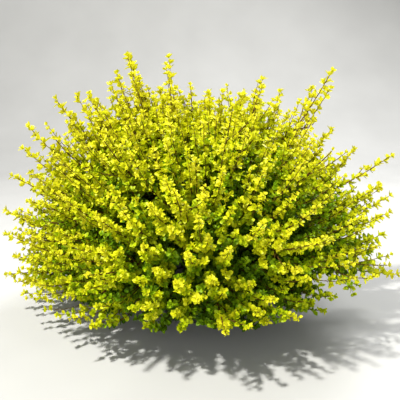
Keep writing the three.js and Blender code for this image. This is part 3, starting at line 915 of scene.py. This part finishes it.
class Nodes:
    """A material's node tree, built by short calls."""

    def __init__(self, name):
        self.material = bpy.data.materials.new(name)
        self.material.use_nodes = True
        self.nodes = self.material.node_tree.nodes
        self.link = self.material.node_tree.links.new
        self.nodes.clear()
        self.place = self.nodes.new("ShaderNodeTexCoord").outputs["Object"]

    def add(self, kind, **values):
        """A node. A value that is a socket is linked, and any other is set."""
        node = self.nodes.new(kind)
        for key, value in values.items():
            name = key.replace("_", " ")
            if isinstance(value, bpy.types.NodeSocket):
                self.link(value, node.inputs[name])
            elif name in node.inputs:
                node.inputs[name].default_value = value
            else:
                setattr(node, key, value)
        return node

    def noise(self, scale, detail=3.0, stretch=None):
        place = self.place
        if stretch:
            place = self.add("ShaderNodeMapping", Vector=place, Scale=stretch).outputs["Vector"]
        return self.add("ShaderNodeTexNoise", Vector=place, Scale=scale, Detail=detail).outputs["Fac"]

    def ramp(self, factor, *stops):
        node = self.add("ShaderNodeValToRGB", Fac=factor)
        stock = node.color_ramp.elements
        while len(stock) < len(stops):
            stock.new(0.5)
        for element, (at, colour) in zip(stock, stops):
            element.position = at
            element.color = (*colour, 1.0)
        return node.outputs["Color"]

    def span(self, noise, low, high):
        """A number that runs between two limits over the middle of a noise."""
        limits = {"From_Min": 0.3, "From_Max": 0.7, "To_Min": low, "To_Max": high}
        return self.add("ShaderNodeMapRange", Value=noise, **limits).outputs["Result"]

    def bump(self, height, strength, distance):
        node = self.add("ShaderNodeBump", Height=height, Strength=strength, Distance=distance)
        return node.outputs["Normal"]

    def surface(self, colour, roughness, **values):
        values.update(Base_Color=colour, Roughness=roughness)
        return self.add("ShaderNodeBsdfPrincipled", **values).outputs["BSDF"]

    def show(self, shader):
        self.add("ShaderNodeOutputMaterial", Surface=shader)
        return self.material


def leaf_material(name, pale, full, dark, through, gloss):
    """A leaf: its colour drifts from spray to spray, with veins, soft gloss and light let through."""
    n = Nodes(name)
    colour = n.ramp(n.noise(120.0, 2.0), (0.32, dark), (0.5, full), (0.68, pale))
    veins = n.bump(n.noise(900.0), 0.25, 0.0004)
    roughness = n.span(n.noise(120.0), 0.34, 0.52)
    face = n.surface(colour, roughness, Normal=veins, Specular_IOR_Level=gloss)
    back = n.add("ShaderNodeBsdfTranslucent", Color=colour)
    mixed = n.add("ShaderNodeMixShader", Fac=through)
    n.link(face, mixed.inputs[1])
    n.link(back.outputs["BSDF"], mixed.inputs[2])
    return n.show(mixed.outputs["Shader"])


def bark_material(name, dark, full, pale, scale):
    """Bark: brown with darker furrows and small pale corky flecks."""
    n = Nodes(name)
    grain = n.noise(scale, 5.0, (1.0, 1.0, 0.35))
    colour = n.ramp(grain, (0.32, dark), (0.55, full), (0.76, pale))
    flecks = n.ramp(n.noise(scale * 2.6, 2.0), (0.66, (0, 0, 0)), (0.72, (1, 1, 1)))
    mix = n.add("ShaderNodeMix", data_type="RGBA", Factor=flecks)
    plain, fleck = [socket for socket in mix.inputs if socket.type == "RGBA"]
    n.link(colour, plain)
    fleck.default_value = (*pale, 1.0)
    flecked = [socket for socket in mix.outputs if socket.type == "RGBA"][0]
    relief = n.bump(grain, 0.6, 0.0008)
    roughness = n.span(grain, 0.55, 0.85)
    return n.show(n.surface(flecked, roughness, Normal=relief, Specular_IOR_Level=BARK_GLOSS))


def plastic_material():
    """Moulded nursery-pot plastic: charcoal, finely pebbled, scuffed and a little dusty."""
    n = Nodes("pot_plastic")
    dark, full, dusty = PLASTIC
    scuffs = n.noise(38.0, 8.0)
    colour = n.ramp(scuffs, (0.35, dark), (0.6, full), (0.8, dusty))
    pebbles = n.bump(n.noise(1500.0, 2.0), 0.2, 0.0004)
    return n.show(n.surface(colour, n.span(scuffs, 0.38, 0.62), Normal=pebbles))


def crumb_material(name, dark, full, pale):
    """A crumbly matt finish, for soil and what lies on it."""
    n = Nodes(name)
    grain = n.noise(260.0, 6.0)
    colour = n.ramp(grain, (0.3, dark), (0.52, full), (0.75, pale))
    return n.show(n.surface(colour, n.span(grain, 0.8, 0.98), Normal=n.bump(grain, 0.8, 0.0012)))


def stage_material():
    """Plain pale paper, with a faint drift of tone."""
    n = Nodes("stage_paper")
    dark, pale = STAGE_PAPER
    return n.show(n.surface(n.ramp(n.noise(3.0, 2.0), (0.3, dark), (0.7, pale)), 0.9))


def barked(paths, radii, sides, relief, rng):
    """Limbs as closed tubes with the relief of bark: ridges along them, knots and roughness."""
    m, n = paths.shape[:2]
    turn = turned(sides)
    along = np.arange(n)[None, :, None]
    phase = rng.uniform(0, 2 * math.pi, (m, 1, 1))
    ridges = np.sin(2 * turn + phase + along * 0.09) + 0.6 * np.sin(3 * turn - 2 * phase - along * 0.16)
    knots = 1.4 * np.maximum(0, np.sin(along * 0.38 + phase * 3)) ** 8
    rough = rng.normal(0, BARK_ROUGHNESS, (m, n, sides))
    paths = paths + rng.normal(0, BARK_WOBBLE, paths.shape)
    return tubes(paths, radii * (1 + relief * (ridges + knots + rough)), sides)


def add_limbs(growth, young_bark, rng):
    """The boughs and leaders with their bark's relief, and the finer shoots."""
    old_bark = bark_material("old_bark", *OLD_BARK)
    boughs = barked(*growth.paths_and_radii("boughs"), BOUGH_SIDES, BOUGH_RELIEF, rng)
    piece("boughs_bark", *boughs, old_bark, "bark", numbered("bough"))
    leaders = barked(*growth.paths_and_radii("leaders"), LEADER_SIDES, LEADER_RELIEF, rng)
    piece("leaders_bark", *leaders, young_bark, "bark", numbered("foliage"))
    for kind, sides in (("shoots", SHOOT_SIDES), ("twiglets", TWIGLET_SIDES)):
        wood = tubes(*growth.paths_and_radii(kind), sides)
        piece(f"{kind}_wood", *wood, young_bark, "bark", numbered("foliage"))


def add_spurs(spurs, material):
    """The short spurs that the outer leaves sit on, each a slim three-sided cone."""
    outer = spurs["depth"] < INNER_DEPTH
    starts = spurs["point"][outer]
    toward = spurs["leaning"][outer]
    ends = starts + toward * spurs["length"][outer][:, None]
    turns = [np.full(len(starts), turn) for turn in turned(SPUR_SIDES)]
    feet = [starts + SPUR_RADIUS * square_to(toward, turn) for turn in turns]
    points = np.stack([*feet, ends], axis=1).reshape(-1, 3)
    cone = [(0, 2, 1), (0, 1, 3), (1, 2, 3), (2, 0, 3)]
    faces = repeated(cone, len(starts), len(cone))
    piece("spurs_wood", points, faces, material, "bark", numbered("foliage"))


def add_leaves(leaves, rng):
    """The leaves, one piece or more for each kind. The kind is dealt out by spray. It is darker the deeper
    the spray lies and the further it faces from the painted sun, which is partly painted shade.
    """
    kind_of = np.searchsorted([limit for _, limit, *_ in LEAF_KINDS[:-1]], leaves["tint"])
    for number, (name, _, outline, *look) in enumerate(LEAF_KINDS):
        material = leaf_material(f"leaf_{name}", *look)
        template = leaf_template(LEAF_OUTLINES[outline])
        chosen = np.flatnonzero(kind_of == number)
        most = PIECE_TRIANGLES // len(template[1])
        for part, first in enumerate(range(0, len(chosen), most)):
            points, faces = leaf_mesh(leaves, chosen[first:first + most], template, rng)
            piece(f"leaves_{name}_{part + 1}", points, faces, material, "foliage", numbered("foliage"))


def add_foot(rng):
    """The woody foot: lobed, furrowed and flared at the soil."""
    rings, sides = FOOT_MESH
    rise = np.linspace(0, 1, rings)[:, None]
    turn = turned(sides)[None]
    widths, rises, flares = zip(*FOOT_RINGS)
    radius = FOOT_RADIUS * np.interp(rise, rises, widths) + FOOT_FLARE * np.interp(rise, rises, flares)
    radius = radius * (1 + LOBE_DEPTH * np.cos(FOOT_LOBES * turn + LOBE_TWIST * rise))
    furrows = sum(depth * np.sin(count * turn + twist * rise) for depth, count, twist in FURROWS)
    radius = radius * (1 + furrows + rng.normal(0, FOOT_ROUGHNESS, radius.shape))
    points = round_points(radius, turn, SOIL_TOP + FOOT_HEIGHT * rise)
    material = bark_material("foot_bark", *FOOT_BARK)
    piece("foot_bark", points, ring_faces(1, rings, sides), material, "bark", ["root_crown"])


def pot_radius(height):
    """The pot's wall line, as radius at a height above its underside."""
    return POT_BASE + (POT_RIM - RIM_OVERHANG - POT_BASE) * height / POT_HEIGHT


def arc(centre, radius, start, end, steps):
    """Points of an arc in the profile's plane, from one angle to another, in degrees."""
    turns = np.radians(np.linspace(start, end, steps + 1))
    return [(centre[0] + radius * math.cos(t), centre[1] + radius * math.sin(t)) for t in turns]


def pot_profile():
    """The pot's outline as radii and heights: up its outside, over the rim and down its inside."""
    rim_foot = POT_HEIGHT - RIM_HEIGHT
    rim_edge = POT_RIM - POT_EDGE
    profile = arc((POT_BASE - POT_EDGE, POT_EDGE), POT_EDGE, -90, -8, 6)
    for place in RING_PLACES:
        for step, depth in ((-RING_HALF_WIDTH, 0), (0, RING_DEPTH), (RING_HALF_WIDTH, 0)):
            height = place * POT_HEIGHT + step
            profile.append((pot_radius(height) - depth, height))
    profile += [(pot_radius(rim_foot) - RIM_STEP, rim_foot)]
    profile += arc((rim_edge, rim_foot + POT_EDGE), POT_EDGE, -80, 0, 5)
    profile += arc((rim_edge, POT_HEIGHT - POT_EDGE), POT_EDGE, 0, 90, 6)
    lip = (pot_radius(POT_HEIGHT) - POT_WALL + POT_LIP, POT_HEIGHT - POT_LIP)
    profile += arc(lip, POT_LIP, 90, 180, 4)
    return profile + [(pot_radius(height) - POT_WALL, height) for height in (0.5 * POT_HEIGHT, POT_FLOOR)]


def add_pot():
    """The nursery pot: a tapered wall with a rolled rim, shallow rings and drain holes."""
    ring = np.array(pot_profile())
    points = round_points(ring[:, :1], turned(ROUND_SIDES), ring[:, 1:])
    faces = ring_faces(1, len(ring), ROUND_SIDES)
    made = piece("pot_shell", points, faces, plastic_material(), "pot", ["pot"])
    for k in range(DRAIN_HOLES):
        turn = 2 * math.pi * (k + 0.5) / DRAIN_HOLES
        bpy.ops.mesh.primitive_cylinder_add(vertices=DRILL_SIDES, radius=DRAIN_RADIUS, depth=DRILL_LENGTH)
        drill = bpy.context.object
        drill.rotation_euler = (0, math.pi / 2, turn)
        height = POT_FLOOR + DRAIN_ABOVE_FLOOR + DRAIN_RADIUS
        drill.location = round_points(POT_BASE, turn, height)[0]
        cut = made.modifiers.new("drain", "BOOLEAN")
        cut.operation = "DIFFERENCE"
        cut.object = drill
        bpy.context.view_layer.objects.active = made
        bpy.ops.object.modifier_apply(modifier=cut.name)
        bpy.data.objects.remove(drill)
    made.data.shade_flat()
    split = made.modifiers.new("edges", "EDGE_SPLIT")
    split.split_angle = SHARP_EDGE
    bpy.ops.object.modifier_apply(modifier=split.name)
    made.data.shade_smooth()


def soil_drop(radius, edge):
    """How far the soil's surface lies under its top at a radius."""
    return SOIL_EDGE_DROP * np.clip((radius - SOIL_FLAT_RADIUS) / (edge - SOIL_FLAT_RADIUS), 0, 1)


def chips(count, size, rng, spread):
    """Small broken chips that lie on the soil: boxes with jittered corners, turned at random."""
    corner = np.array([(x, y, z) for x in (-1, 1) for y in (-1, 1) for z in (-1, 1)], float)
    sides = [(0, 1, 3, 2), (4, 6, 7, 5), (0, 4, 5, 1), (2, 3, 7, 6), (0, 2, 6, 4), (1, 5, 7, 3)]
    scale = size * rng.uniform(*CHIP_SIZES, (count, 1)) * rng.uniform(*CHIP_SHAPES, (count, 3))
    shape = corner[None] * scale[:, None] * rng.uniform(*CHIP_CORNERS, (count, 8, 3))
    turn = rng.uniform(0, 2 * math.pi, count)[:, None]
    tilt = rng.normal(0, CHIP_TILT, count)[:, None]
    x, y, z = np.moveaxis(shape, -1, 0)
    x, z = x * np.cos(tilt) - z * np.sin(tilt), x * np.sin(tilt) + z * np.cos(tilt)
    x, y = x * np.cos(turn) - y * np.sin(turn), x * np.sin(turn) + y * np.cos(turn)
    radius = spread * np.sqrt(rng.uniform(CHIPS_FROM, 1, count))
    azimuth = rng.uniform(0, 2 * math.pi, count)
    place = round_points(radius, azimuth, SOIL_TOP - soil_drop(radius, spread))
    points = (np.stack([x, y, z], axis=-1) + place[:, None]).reshape(-1, 3)
    return points, repeated(sides, count, len(corner))


def soil_body(edge, rng):
    """The potting mix as a closed body: an uneven top, and a wall down to the pot's floor."""
    radius = edge * (np.arange(1, SOIL_RINGS + 1) / SOIL_RINGS)[:, None]
    turn = turned(ROUND_SIDES)[None]
    calm = np.minimum(1, (edge - radius) / CALM_WIDTH + CALM_SHARE)
    lumps = rng.normal(0, LUMP_HEIGHT, (SOIL_RINGS, ROUND_SIDES)) * calm
    top = round_points(radius, turn, SOIL_TOP - soil_drop(radius, edge) + lumps - SOIL_SINK)
    foot_edge = pot_radius(POT_FLOOR) - POT_WALL - SOIL_FOOT_GAP
    foot = round_points(foot_edge, turn[0], POT_FLOOR + SOIL_FLOOR_GAP)
    points = np.concatenate([top, foot, [[0, 0, SOIL_TOP]]])
    faces = ring_faces(1, SOIL_RINGS, ROUND_SIDES)[:-2]
    under = len(top)
    rim = under - ROUND_SIDES
    for k in range(ROUND_SIDES):
        after = (k + 1) % ROUND_SIDES
        faces.append([k, after, len(points) - 1])
        faces.append([under + k, under + after, rim + after, rim + k])
    faces.append([under + k for k in reversed(range(ROUND_SIDES))])
    return points, faces


def add_soil(rng):
    """The potting mix: an uneven crumbly surface, with bark chips and pale grains lying on it."""
    edge = pot_radius(SOIL_TOP) - POT_WALL - SOIL_EDGE_GAP
    finishes = {name: crumb_material(name, *colours) for name, colours in CRUMB_COLOURS.items()}
    piece("soil_surface", *soil_body(edge, rng), finishes["potting_mix"], "soil", ["soil"])
    for name, finish, count, size in LITTER:
        lying = chips(count, size, rng, edge - CHIPS_MARGIN)
        piece(name, *lying, finishes[finish], "soil", ["soil"], smooth=False)


def add_stage():
    """A pale floor that sweeps up into a backdrop."""
    sweep = arc((SWEEP_FROM, SWEEP_RADIUS), SWEEP_RADIUS, *SWEEP_ARC)
    profile = [(STAGE_FRONT, 0.0), (SWEEP_FROM, 0.0), *sweep, (SWEEP_FROM + SWEEP_RADIUS, STAGE_TOP)]
    points = [(x, y, z) for y, z in profile for x in (-STAGE_HALF_WIDTH, STAGE_HALF_WIDTH)]
    faces = [(2 * k, 2 * k + 1, 2 * k + 3, 2 * k + 2) for k in range(len(profile) - 1)]
    floor = meshed("stage_floor", points, faces, stage_material())


def add_lights():
    """Soft studio light: three round lamps that face the crown, and a pale surrounding."""
    for name, place, size, power, colour in LIGHTS:
        lamp = bpy.data.lights.new(name, "AREA")
        lamp.shape = "DISK"
        lamp.size = size
        lamp.energy = power
        lamp.color = colour
        made = placed(name, lamp)
        made.location = place
        made.rotation_euler = Vector(np.subtract(LIT_POINT, place)).to_track_quat("-Z", "Y").to_euler()
    world = bpy.data.worlds.new("studio")
    world.use_nodes = True
    background = world.node_tree.nodes["Background"]
    background.inputs["Color"].default_value = WORLD_COLOUR
    background.inputs["Strength"].default_value = WORLD_STRENGTH
    bpy.context.scene.world = world


def add_camera():
    """The camera at the photo's viewing angle."""
    lens = bpy.data.cameras.new("camera")
    lens.sensor_width = CAMERA_SENSOR
    lens.lens = CAMERA_LENS
    made = placed("camera", lens)
    made.location = PHOTO_FROM + [CAMERA_SHIFT, 0, 0]
    made.rotation_euler = ((90 - CAMERA_DOWN) * DEGREE, 0, 0)
    bpy.context.scene.camera = made


def main():
    add_camera()
    growth = grow()
    rng = np.random.default_rng(SEED + 1)
    spurs = grow_spurs(growth.bearing, rng)
    leaves = grow_leaves(spurs, rng)
    young_bark = bark_material("young_bark", *YOUNG_BARK)
    add_limbs(growth, young_bark, rng)
    add_spurs(spurs, young_bark)
    add_leaves(leaves, rng)
    add_foot(rng)
    add_pot()
    add_soil(rng)
    add_stage()
    add_lights()
    view = bpy.context.scene.view_settings
    view.view_transform = "Standard"
    view.look = "None"
    view.exposure = 0.0


main()
